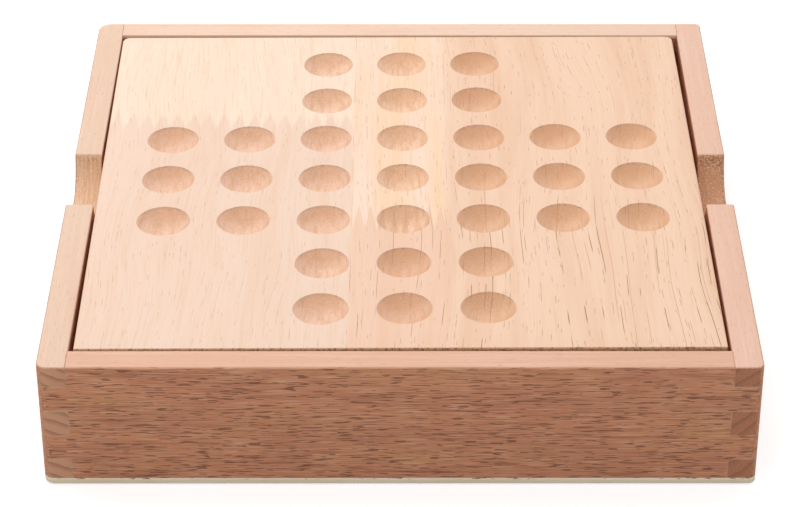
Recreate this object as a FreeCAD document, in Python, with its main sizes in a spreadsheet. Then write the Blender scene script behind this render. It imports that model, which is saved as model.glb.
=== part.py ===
"""Solitaire game box: a finger-jointed box closed by a lift-out board with thirty-three hollows.

Millimetres. +Z is up, +Y points to the back, and the origin is the middle of the underside.
The board lies on four ledge strips inside the top of the box, and the playing balls lie loose
on the base panel below it.
"""
import FreeCAD, Part
import math
import os

import Sketcher

SIZES = {
    # The box
    "box_width": 200.0,
    "box_depth": 200.0,
    "wall_height": 37.8,
    "wall_thickness": 8.2,
    "base_thickness": 2.2,
    "finger_width": 8.2,
    # Hand-sanded roundings, each corner by its own amount
    "corner_front_left": 2.8,
    "corner_front_right": 2.0,
    "corner_back_left": 4.0,
    "corner_back_right": 1.4,
    "top_edge": 0.4,
    "top_inner_edge": 0.2,
    "base_edge": 0.5,
    # Finger notches in the two side walls
    "notch_flat": 5.2,
    "notch_radius": 12.0,
    "notch_depth": 9.8,
    "notch_lip_radius": 1.2,
    # The playing board, with the share of its clearance that it is shifted and turned by
    "board_gap": 1.1,
    "board_thickness": 10.0,
    "board_recess": 0.2,
    "board_shift_share_x": -0.2,
    "board_shift_share_y": 0.3,
    "board_turn_share": 0.43,
    "board_corner_back": 2.6,
    "board_corner_front": 0.8,
    "board_edge": 0.4,
    # The cross of hollows, milled a little off the middle, and a little askew from column to column
    "hollow_pitch": 23.75,
    "hollow_diameter": 15.9,
    "hollow_depth": 5.0,
    "grid_shift_x": 1.2,
    "grid_shift_y": 0.58,
    "column_rise": 0.24,
    # The strips that carry the board
    "seat_gap": 0.1,
    "ledge_width": 6.0,
    "ledge_height": 6.0,
    # The playing balls
    "ball_diameter": 16.0,
    "ball_gap": 0.3,
}

BALL_ROWS = 4
BALLS_PER_ROW = 8
# Flat facets round a ball or a hollow and up it, and the latitudes in degrees that they run between
BALL_FACETS = (12, 5)
HOLLOW_FACETS = (20, 5)
POLE_DEGREES = 79
EQUATOR_DEGREES = 0
# The cross fills three lines each way of a grid of seven by seven
GRID_STEPS = range(-3, 4)
ARM_STEPS = (-1, 0, 1)
TOUCH = 1e-4

HALF_WIDTH = "sizes.box_width / 2"
HALF_DEPTH = "sizes.box_depth / 2"
INNER_HALF_WIDTH = "(sizes.box_width / 2 - sizes.wall_thickness)"
INNER_HALF_DEPTH = "(sizes.box_depth / 2 - sizes.wall_thickness)"
BOARD_WIDTH = "(sizes.box_width - 2 * sizes.wall_thickness - 2 * sizes.board_gap)"
BOARD_DEPTH = "(sizes.box_depth - 2 * sizes.wall_thickness - 2 * sizes.board_gap)"
END_FINGER = "(sizes.wall_height - 3 * sizes.finger_width) / 2"
RIM_HEIGHT = "(sizes.base_thickness + sizes.wall_height)"
BOARD_UNDERSIDE = f"({RIM_HEIGHT} - sizes.board_recess - sizes.board_thickness)"
HOLLOW_RADIUS = "((sizes.hollow_diameter ^ 2 / 4 + sizes.hollow_depth ^ 2) / (2 * sizes.hollow_depth))"


def make_sheet(doc):
    """Write the driving sizes to a sheet, one alias each."""
    sheet = doc.addObject("Spreadsheet::Sheet", "sizes")
    for row, (name, value) in enumerate(SIZES.items(), start=1):
        sheet.set(f"A{row}", name)
        sheet.set(f"B{row}", str(value))
        sheet.setAlias(f"B{row}", name)
    doc.recompute()
    return sheet


def new_body(doc, label, height="0"):
    """Start a body that stands at the given height."""
    body = doc.addObject("PartDesign::Body", label)
    body.Label = label
    body.setExpression("Placement.Base.z", height)
    return body


def new_sketch(body, name, plane_role):
    """Start a sketch on one of the body's own origin planes."""
    sketch = body.newObject("Sketcher::SketchObject", name)
    plane = next(p for p in body.Origin.OriginFeatures if p.Role == plane_role)
    sketch.AttachmentSupport = [(plane, "")]
    sketch.MapMode = "FlatFace"
    return sketch


def bind(sketch, constraint, expression):
    """Add a constraint whose value follows an expression."""
    index = sketch.addConstraint(constraint)
    sketch.setExpression(f"Constraints[{index}]", expression)


def place_vertex(sketch, line, end, across, up):
    """Hold one end of a line at a signed distance from the sketch's origin."""
    start = sketch.Geometry[line].StartPoint if end == 1 else sketch.Geometry[line].EndPoint
    bind(sketch, Sketcher.Constraint("DistanceX", -1, 1, line, end, start.x), across)
    bind(sketch, Sketcher.Constraint("DistanceY", -1, 1, line, end, start.y), up)


def add_rectangle(sketch, left, low, right, high):
    """Add a rectangle whose four sides are bound to expressions."""
    corners = [(-1, -1), (1, -1), (1, 1), (-1, 1)]
    points = [FreeCAD.Vector(x, y, 0) for x, y in corners]
    first = sketch.GeometryCount
    for start, end in zip(points, points[1:] + points[:1]):
        sketch.addGeometry(Part.LineSegment(start, end), False)
    for side in range(4):
        following = first + (side + 1) % 4
        sketch.addConstraint(Sketcher.Constraint("Coincident", first + side, 2, following, 1))
        direction = "Horizontal" if side % 2 == 0 else "Vertical"
        sketch.addConstraint(Sketcher.Constraint(direction, first + side))
    place_vertex(sketch, first, 1, left, low)
    place_vertex(sketch, first + 2, 1, right, high)


def pad(body, sketch, length):
    """Pad a sketch along its normal."""
    feature = body.newObject("PartDesign::Pad", f"{sketch.Label}_pad")
    feature.Profile = sketch
    feature.setExpression("Length", length)
    body.Document.recompute()
    return feature


def pocket_through(body, sketch):
    """Cut a sketch through the whole body, both ways, and make sure that it removed something."""
    before = body.Shape.Volume
    feature = body.newObject("PartDesign::Pocket", f"{sketch.Label}_pocket")
    feature.Profile = sketch
    feature.Type = "ThroughAll"
    feature.SideType = "Symmetric"
    body.Document.recompute()
    if body.Shape.Volume > before - TOUCH:
        raise ValueError(f"{feature.Label} removes nothing from {body.Label}")
    return feature


def ease(body, kind, size, wanted):
    """Round or chamfer the edges of the body's last feature that a test picks out."""
    base = body.Tip
    names = [f"Edge{i}" for i, edge in enumerate(base.Shape.Edges, start=1) if wanted(edge)]
    if not names:
        raise ValueError(f"{body.Label} has no edge for {size}")
    feature = body.newObject(f"PartDesign::{kind}", f"{body.Label}_{size}")
    feature.Base = (base, names)
    feature.setExpression("Radius" if kind == "Fillet" else "Size", f"sizes.{size}")
    body.Document.recompute()
    return feature


def is_upright_at(edge, x, y):
    """Say whether an edge stands upright at a place on the plan."""
    box = edge.BoundBox
    upright = box.ZLength > TOUCH and box.XLength < TOUCH and box.YLength < TOUCH
    return upright and abs(box.XMin - x) < TOUCH and abs(box.YMin - y) < TOUCH


def is_level_at(edge, height):
    """Say whether an edge lies flat at a height."""
    box = edge.BoundBox
    return abs(box.ZMin - height) < TOUCH and abs(box.ZMax - height) < TOUCH


def corner_name(side, end):
    """Name the box corner at a side (-1 left, 1 right) and an end (-1 front, 1 back)."""
    return f"corner_{'back' if end > 0 else 'front'}_{'right' if side > 0 else 'left'}"


def round_box_corner(body, sheet, side, end):
    """Round the outer upright edge at one corner of the box."""
    x = side * sheet.box_width / 2
    y = end * sheet.box_depth / 2
    ease(body, "Fillet", corner_name(side, end), lambda edge: is_upright_at(edge, x, y))


def finger_levels(first):
    """Give the low and high expressions of every second finger, from the base up."""
    levels = ["0"] + [f"{END_FINGER} + {i} * sizes.finger_width" for i in range(4)]
    levels.append("sizes.wall_height")
    return [(levels[i], levels[i + 1]) for i in range(first, 5, 2)]


def make_side_wall(doc, sheet, side):
    """Side wall, whose fingers run through to the front and the back, with its finger notch."""
    body = new_body(doc, "right_wall" if side > 0 else "left_wall", "sizes.base_thickness")
    plan = new_sketch(body, f"{body.Label}_plan", "XY_Plane")
    left, right = (INNER_HALF_WIDTH, HALF_WIDTH) if side > 0 else (f"-{HALF_WIDTH}", f"-{INNER_HALF_WIDTH}")
    add_rectangle(plan, left, f"-{HALF_DEPTH}", right, HALF_DEPTH)
    pad(body, plan, "sizes.wall_height")
    for end in (-1, 1):
        round_box_corner(body, sheet, side, end)
    sockets = new_sketch(body, f"{body.Label}_sockets", "YZ_Plane")
    for low, high in finger_levels(first=1):
        add_rectangle(sockets, f"-{HALF_DEPTH} - 1", low, f"-{INNER_HALF_DEPTH}", high)
        add_rectangle(sockets, INNER_HALF_DEPTH, low, f"{HALF_DEPTH} + 1", high)
    pocket_through(body, sockets)
    notch = new_sketch(body, f"{body.Label}_notch", "YZ_Plane")
    draw_notch(notch, sheet)
    pocket_through(body, notch)
    top = sheet.wall_height
    reach = sheet.notch_flat / 2 + sheet.notch_radius
    ease(body, "Fillet", "notch_lip_radius", lambda edge: is_level_at(edge, top)
         and edge.BoundBox.YLength < TOUCH and abs(edge.BoundBox.YMin) < reach)
    for size, x in (("top_edge", side * sheet.box_width / 2),
                    ("top_inner_edge", side * (sheet.box_width / 2 - sheet.wall_thickness))):
        ease(body, "Chamfer", size, lambda edge: is_level_at(edge, top)
             and edge.BoundBox.XLength < TOUCH and abs(edge.BoundBox.XMin - x) < TOUCH)
    return body


def draw_notch(sketch, sheet):
    """Draw a shallow trough: a flat floor, an arc at each end, and open above the wall."""
    reach = sheet.notch_flat / 2
    radius = sheet.notch_radius
    low = sheet.wall_height - sheet.notch_depth
    middle = low + radius
    high = middle + radius
    along = FreeCAD.Vector(0, 0, 1)
    points = [(-reach, low), (reach, low), (reach + radius, middle), (reach + radius, high),
              (-reach - radius, high), (-reach - radius, middle)]
    floor_left, floor_right, right_low, right_high, left_high, left_low = (
        FreeCAD.Vector(x, y, 0) for x, y in points)
    right_circle = Part.Circle(FreeCAD.Vector(reach, middle, 0), along, radius)
    left_circle = Part.Circle(FreeCAD.Vector(-reach, middle, 0), along, radius)
    floor, right_arc, right_side, brim, left_side, left_arc = sketch.addGeometry([
        Part.LineSegment(floor_left, floor_right),
        Part.ArcOfCircle(right_circle, -math.pi / 2, 0),
        Part.LineSegment(right_low, right_high),
        Part.LineSegment(right_high, left_high),
        Part.LineSegment(left_high, left_low),
        Part.ArcOfCircle(left_circle, math.pi, 1.5 * math.pi),
    ], False)
    sketch.addConstraint([
        Sketcher.Constraint("Horizontal", floor),
        Sketcher.Constraint("Horizontal", brim),
        Sketcher.Constraint("Vertical", right_side),
        Sketcher.Constraint("Vertical", left_side),
        Sketcher.Constraint("Coincident", right_side, 2, brim, 1),
        Sketcher.Constraint("Coincident", brim, 2, left_side, 1),
        Sketcher.Constraint("Tangent", floor, 2, right_arc, 1),
        Sketcher.Constraint("Tangent", right_arc, 2, right_side, 1),
        Sketcher.Constraint("Tangent", left_side, 2, left_arc, 1),
        Sketcher.Constraint("Tangent", left_arc, 2, floor, 1),
        Sketcher.Constraint("Equal", left_arc, right_arc),
    ])
    bind(sketch, Sketcher.Constraint("Radius", right_arc, radius), "sizes.notch_radius")
    bind(sketch, Sketcher.Constraint("DistanceX", floor, 1, floor, 2, 2 * reach), "sizes.notch_flat")
    place_vertex(sketch, floor, 1, "-sizes.notch_flat / 2", "sizes.wall_height - sizes.notch_depth")
    bind(sketch, Sketcher.Constraint("DistanceY", -1, 1, brim, 1, high),
         "sizes.wall_height - sizes.notch_depth + 2 * sizes.notch_radius")


def make_end_wall(doc, sheet, end):
    """Front or back wall, whose two tongues fill the sockets of the side walls."""
    body = new_body(doc, "back_wall" if end > 0 else "front_wall", "sizes.base_thickness")
    plan = new_sketch(body, f"{body.Label}_plan", "XY_Plane")
    low, high = (INNER_HALF_DEPTH, HALF_DEPTH) if end > 0 else (f"-{HALF_DEPTH}", f"-{INNER_HALF_DEPTH}")
    add_rectangle(plan, f"-{HALF_WIDTH}", low, HALF_WIDTH, high)
    pad(body, plan, "sizes.wall_height")
    for side in (-1, 1):
        round_box_corner(body, sheet, side, end)
    gaps = new_sketch(body, f"{body.Label}_gaps", "XZ_Plane")
    for low, high in finger_levels(first=0):
        add_rectangle(gaps, f"-{HALF_WIDTH} - 1", low, f"-{INNER_HALF_WIDTH}", high)
        add_rectangle(gaps, INNER_HALF_WIDTH, low, f"{HALF_WIDTH} + 1", high)
    pocket_through(body, gaps)
    for size, y in (("top_edge", end * sheet.box_depth / 2),
                    ("top_inner_edge", end * (sheet.box_depth / 2 - sheet.wall_thickness))):
        ease(body, "Chamfer", size, lambda edge: is_level_at(edge, sheet.wall_height)
             and edge.BoundBox.YLength < TOUCH and abs(edge.BoundBox.YMin - y) < TOUCH)
    return body


def make_base_panel(doc, sheet):
    """Thin panel glued under the four walls and sanded to their outline."""
    body = new_body(doc, "base_panel")
    plan = new_sketch(body, "base_panel_plan", "XY_Plane")
    add_rectangle(plan, f"-{HALF_WIDTH}", f"-{HALF_DEPTH}", HALF_WIDTH, HALF_DEPTH)
    pad(body, plan, "sizes.base_thickness")
    for side in (-1, 1):
        for end in (-1, 1):
            round_box_corner(body, sheet, side, end)
    ease(body, "Chamfer", "base_edge", lambda edge: is_level_at(edge, 0))
    return body


def make_ledges(doc):
    """Four strips glued round the inside of the walls, level with the board's underside."""
    top = f"{BOARD_UNDERSIDE} - sizes.seat_gap"
    long_strip = f"2 * {INNER_HALF_WIDTH}"
    short_strip = f"2 * {INNER_HALF_DEPTH} - 2 * sizes.ledge_width"
    near = f"-{INNER_HALF_DEPTH}"
    left = f"-{INNER_HALF_WIDTH}"
    strips = {
        "front_ledge": (long_strip, "sizes.ledge_width", left, near),
        "back_ledge": (long_strip, "sizes.ledge_width", left, f"{INNER_HALF_DEPTH} - sizes.ledge_width"),
        "left_ledge": ("sizes.ledge_width", short_strip, left, f"{near} + sizes.ledge_width"),
        "right_ledge": ("sizes.ledge_width", short_strip, f"{INNER_HALF_WIDTH} - sizes.ledge_width",
                        f"{near} + sizes.ledge_width"),
    }
    ledges = []
    for label, (length, width, x, y) in strips.items():
        strip = doc.addObject("Part::Box", label)
        strip.Label = label
        strip.setExpression("Length", length)
        strip.setExpression("Width", width)
        strip.setExpression("Height", "sizes.ledge_height")
        strip.setExpression("Placement.Base.x", x)
        strip.setExpression("Placement.Base.y", y)
        strip.setExpression("Placement.Base.z", f"{top} - sizes.ledge_height")
        ledges.append(strip)
    return ledges


def make_board_blank(doc, sheet):
    """Square board with round back corners and eased edges, before its hollows are milled."""
    body = new_body(doc, "board_blank")
    plan = new_sketch(body, "board_plan", "XY_Plane")
    half_width, half_depth = f"{BOARD_WIDTH} / 2", f"{BOARD_DEPTH} / 2"
    add_rectangle(plan, f"-{half_width}", f"-{half_depth}", half_width, half_depth)
    pad(body, plan, "sizes.board_thickness")
    inside = sheet.wall_thickness + sheet.board_gap
    x = sheet.box_width / 2 - inside
    y = sheet.box_depth / 2 - inside
    for radius, end in (("board_corner_back", 1), ("board_corner_front", -1)):
        ease(body, "Fillet", radius,
             lambda edge: is_upright_at(edge, x, end * y) or is_upright_at(edge, -x, end * y))
    ease(body, "Chamfer", "board_edge",
         lambda edge: is_level_at(edge, 0) or is_level_at(edge, sheet.board_thickness))
    return body


def make_round_form(doc, name, radius, facets, top_degrees):
    """Ball in flat facets up to a latitude, with its corners on the true ball and a flat at each end."""
    sides, bands = facets
    rings = []
    for band in range(bands + 1):
        latitude = math.radians((top_degrees + POLE_DEGREES) * band / bands - POLE_DEGREES)
        flat, height = radius * math.cos(latitude), radius * math.sin(latitude)
        turns = [2 * math.pi * side / sides for side in range(sides)]
        rings.append([FreeCAD.Vector(flat * math.cos(turn), flat * math.sin(turn), height) for turn in turns])
    faces = [Part.Face(Part.makePolygon(ring + ring[:1])) for ring in (rings[0], rings[-1])]
    for low, high in zip(rings, rings[1:]):
        for side in range(sides):
            following = (side + 1) % sides
            outline = [low[side], low[following], high[following], high[side], low[side]]
            faces.append(Part.Face(Part.makePolygon(outline)))
    form = doc.addObject("Part::Feature", name)
    form.Shape = Part.Solid(Part.Shell(faces))
    return form


def place_copy(doc, form, label, x, y, z):
    """Set a copy of a form at a place given by three expressions."""
    copy = doc.addObject("Part::Compound", label)
    copy.Label = label
    copy.Links = [form]
    for axis, expression in zip("xyz", (x, y, z)):
        copy.setExpression(f"Placement.Base.{axis}", expression)
    return copy


def make_hollows(doc, sheet):
    """Thirty-three balls' worth of waste, at the places of a cross three hollows wide in each arm."""
    depth = sheet.hollow_depth
    radius = (sheet.hollow_diameter ** 2 / 4 + depth ** 2) / (2 * depth)
    form = make_round_form(doc, "hollow_form", radius, HOLLOW_FACETS, EQUATOR_DEGREES)
    z = f"sizes.board_thickness - sizes.hollow_depth + {HOLLOW_RADIUS}"
    cutters = []
    for column in GRID_STEPS:
        for row in GRID_STEPS:
            if column not in ARM_STEPS and row not in ARM_STEPS:
                continue
            x = f"sizes.grid_shift_x + {column} * sizes.hollow_pitch"
            y = f"sizes.grid_shift_y + {row} * sizes.hollow_pitch + {column} * sizes.column_rise"
            cutters.append(place_copy(doc, form, f"hollow_{column + 4}_{row + 4}", x, y, z))
    hollows = doc.addObject("Part::Compound", "hollows")
    hollows.Links = cutters
    return hollows


def make_playing_board(doc, sheet):
    """The lift-out board, lying in its opening a little shifted and turned within its clearance."""
    board = doc.addObject("Part::Cut", "playing_board")
    board.Label = "playing_board"
    board.Base = make_board_blank(doc, sheet)
    board.Tool = make_hollows(doc, sheet)
    turn = f"asin(sizes.board_turn_share * sizes.board_gap / ({BOARD_WIDTH} / 2))"
    board.setExpression("Placement.Base.x", "sizes.board_shift_share_x * sizes.board_gap")
    board.setExpression("Placement.Base.y", "sizes.board_shift_share_y * sizes.board_gap")
    board.setExpression("Placement.Base.z", BOARD_UNDERSIDE)
    board.setExpression("Placement.Rotation.Angle", turn)
    return board


def make_balls(doc, sheet):
    """Thirty-two loose balls, gathered in staggered rows between the front ledge and the middle."""
    form = make_round_form(doc, "ball_form", sheet.ball_diameter / 2, BALL_FACETS, POLE_DEGREES)
    spacing = "(sizes.ball_diameter + sizes.ball_gap)"
    front = f"sizes.ledge_width + sizes.ball_gap + sizes.ball_diameter / 2 - {INNER_HALF_DEPTH}"
    balls = []
    for row in range(BALL_ROWS):
        stagger = 0.25 if row % 2 else -0.25
        for step in range(BALLS_PER_ROW):
            x = f"{step - (BALLS_PER_ROW - 1) / 2 + stagger} * {spacing}"
            y = f"{front} + {row} * {spacing} * cos(30)"
            z = "sizes.base_thickness + sizes.ball_diameter / 2"
            balls.append(place_copy(doc, form, f"ball_{len(balls) + 1:02d}", x, y, z))
    return balls


def check(doc, pieces):
    """Stop if any object failed to build, or a piece is empty or not valid."""
    for item in doc.Objects:
        if {"Invalid", "Error"} & set(item.State):
            raise ValueError(f"{item.Label} failed: {item.State}")
    for piece in pieces:
        if piece.Shape.isNull() or not piece.Shape.isValid() or not piece.Shape.Solids:
            raise ValueError(f"{piece.Label} has no valid solid")


def main():
    """Build the pieces and write one STEP file for each."""
    doc = FreeCAD.newDocument("solitaire_box")
    sheet = make_sheet(doc)
    pieces = [make_side_wall(doc, sheet, side) for side in (-1, 1)]
    pieces += [make_end_wall(doc, sheet, end) for end in (-1, 1)]
    pieces.append(make_base_panel(doc, sheet))
    pieces += make_ledges(doc)
    pieces.append(make_playing_board(doc, sheet))
    pieces += make_balls(doc, sheet)
    doc.recompute()
    check(doc, pieces)
    os.makedirs("parts", exist_ok=True)
    for piece in pieces:
        piece.Shape.exportStep(os.path.join("parts", f"{piece.Label}.step"))
        print(f"{piece.Label}: {piece.Shape.Volume:.0f} cubic mm")


main()
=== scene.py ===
"""Looks of the solitaire game box: beech box, rubberwood board with milled hollows, and turned balls."""

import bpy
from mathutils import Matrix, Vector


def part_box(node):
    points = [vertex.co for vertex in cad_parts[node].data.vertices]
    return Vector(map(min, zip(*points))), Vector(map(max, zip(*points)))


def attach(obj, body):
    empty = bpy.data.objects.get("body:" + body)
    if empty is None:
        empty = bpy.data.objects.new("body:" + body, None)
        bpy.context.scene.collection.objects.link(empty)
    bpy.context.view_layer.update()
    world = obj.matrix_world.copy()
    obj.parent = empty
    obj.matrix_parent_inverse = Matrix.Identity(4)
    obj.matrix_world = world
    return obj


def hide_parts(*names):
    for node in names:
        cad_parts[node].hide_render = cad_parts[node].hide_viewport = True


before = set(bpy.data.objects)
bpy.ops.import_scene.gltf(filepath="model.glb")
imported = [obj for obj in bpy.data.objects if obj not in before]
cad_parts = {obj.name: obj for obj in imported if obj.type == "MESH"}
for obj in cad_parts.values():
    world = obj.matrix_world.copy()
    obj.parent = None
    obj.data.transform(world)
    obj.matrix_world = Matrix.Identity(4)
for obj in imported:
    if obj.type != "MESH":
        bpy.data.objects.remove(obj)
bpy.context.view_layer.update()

import logging
import math
from dataclasses import dataclass, field
from enum import Enum
from typing import Any, Iterable, Sequence

import bmesh
import bpy
from mathutils import Matrix, Vector

LOG = logging.getLogger("solitaire_box")
MM = 0.001
WOOD_IOR = 1.5


class Grain(Enum):
    """The axis that a piece's fibres run along."""

    ALONG_X = 0
    ALONG_Y = 1


def linear(hex_colour: str) -> tuple[float, float, float, float]:
    """Turn an sRGB hex colour to linear.

    Args:
        hex_colour: Six hex digits, with or without a leading hash.

    Returns:
        Red, green, blue and an alpha of one.
    """
    digits = hex_colour.lstrip("#")
    channels = [int(digits[i:i + 2], 16) / 255 for i in (0, 2, 4)]
    bright = [c / 12.92 if c <= 0.04045 else ((c + 0.055) / 1.055) ** 2.4 for c in channels]
    return bright[0], bright[1], bright[2], 1.0


def add_node(tree: bpy.types.NodeTree, kind: str, inputs: dict | None = None, **settings: Any) -> bpy.types.Node:
    """Add a node with its settings and links.

    Args:
        tree: The tree that gets the node.
        kind: The node's type name.
        inputs: Input name or number to a value, a socket, or a node whose first live output is linked.
        **settings: Properties of the node, set before its inputs.

    Returns:
        The new node.
    """
    node = tree.nodes.new(kind)
    for name, value in settings.items():
        setattr(node, name, value)
    for key, value in (inputs or {}).items():
        if isinstance(key, int):
            socket = node.inputs[key]
        else:
            socket = next(s for s in node.inputs if s.enabled and s.name == key)
        if isinstance(value, bpy.types.Node):
            value = next(s for s in value.outputs if s.enabled)
        if isinstance(value, bpy.types.NodeSocket):
            tree.links.new(value, socket)
        else:
            socket.default_value = value
    return node


@dataclass
class Recipe:
    """A material being written, node by node.

    Attributes:
        name: The material's name.
    """

    name: str

    def __post_init__(self) -> None:
        """Start an empty material."""
        self.material = bpy.data.materials.new(self.name)
        self.material.use_nodes = True
        self.tree = self.material.node_tree
        self.tree.nodes.clear()

    def add(self, kind: str, inputs: dict | None = None, **settings: Any) -> bpy.types.Node:
        """Add a shader node, by its short type name, as add_node does."""
        return add_node(self.tree, f"ShaderNode{kind}", inputs, **settings)

    def calc(self, operation: str, *values: Any) -> bpy.types.Node:
        """Work out one number from others.

        Args:
            operation: The arithmetic, as Blender names it.
            *values: Numbers, sockets or nodes, in order.

        Returns:
            The node that holds the result.
        """
        return self.add("Math", dict(enumerate(values)), operation=operation)

    def blend(self, amount: Any, below: Any, above: Any, mode: str = "MIX") -> bpy.types.Node:
        """Lay one colour over another.

        Args:
            amount: How much of the upper colour shows, from 0 to 1.
            below: The lower colour.
            above: The upper colour.
            mode: How the two combine.

        Returns:
            The node that holds the result.
        """
        return self.add("Mix", {"Factor": amount, "A": below, "B": above}, data_type="RGBA", blend_type=mode)

    def ramp(self, value: Any, low: float, high: float, bottom: float = 0.0, top: float = 1.0) -> bpy.types.Node:
        """Ease a value from bottom to top while it passes from low to high.

        Args:
            value: The value that is read.
            low: Where the result leaves bottom.
            high: Where the result reaches top.
            bottom: The result below low.
            top: The result above high.

        Returns:
            The node that holds the result.
        """
        numbers = {"Value": value, "From Min": low, "From Max": high, "To Min": bottom, "To Max": top}
        return self.add("MapRange", numbers, interpolation_type="SMOOTHSTEP")

    def fibres(self, place: Any, long_mm: float, wide_mm: float, seed: float, detail: float = 2.0) -> bpy.types.Node:
        """Noise drawn out along the pattern's X axis, as wood fibres are.

        Args:
            place: Position in millimetres, with the fibres along X.
            long_mm: Length of one feature.
            wide_mm: Width of one feature.
            seed: Offset that makes each use different.
            detail: Octaves of finer noise.

        Returns:
            The node that holds noise from 0 to 1.
        """
        stretch = (1 / long_mm, 1 / wide_mm, 1 / wide_mm)
        turned = self.add("Mapping", {"Vector": place, "Location": (seed, seed * 1.7, -seed), "Scale": stretch})
        return self.add("TexNoise", {"Vector": turned, "Scale": 1.0, "Detail": detail, "Roughness": 0.55})

    def finish(self, colour: Any, roughness: Any, height: Any, relief_mm: float) -> bpy.types.Material:
        """Close the recipe with a wood surface.

        Args:
            colour: The surface's colour.
            roughness: The surface's roughness.
            height: Relief from 0 to 1.
            relief_mm: The depth of that relief.

        Returns:
            The finished material.
        """
        bump = self.add("Bump", {"Height": height, "Distance": relief_mm * MM, "Strength": 1.0})
        surface = self.add("BsdfPrincipled", {"Base Color": colour, "Roughness": roughness, "Normal": bump,
                                              "IOR": WOOD_IOR})
        self.add("OutputMaterial", {"Surface": surface})
        return self.material


@dataclass(frozen=True)
class BoxJoints:
    """Where the finger joints of the box meet, in millimetres, for the glue lines that show there.

    Attributes:
        seam: Distance of the joint's upright line from the middle of the box.
        finger: Height of one finger.
        levels: Heights of the joint's level lines.
        rim: Height from which the inner faces take the top's pale colour, as painted light from above.
        notch: Half of the length in which the finger notch lies.
    """

    seam: float = 91.8
    finger: float = 8.2
    levels: tuple[float, ...] = (8.8, 17.0, 25.2, 33.4)
    rim: float = 38.6
    notch: float = 19.0


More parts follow.
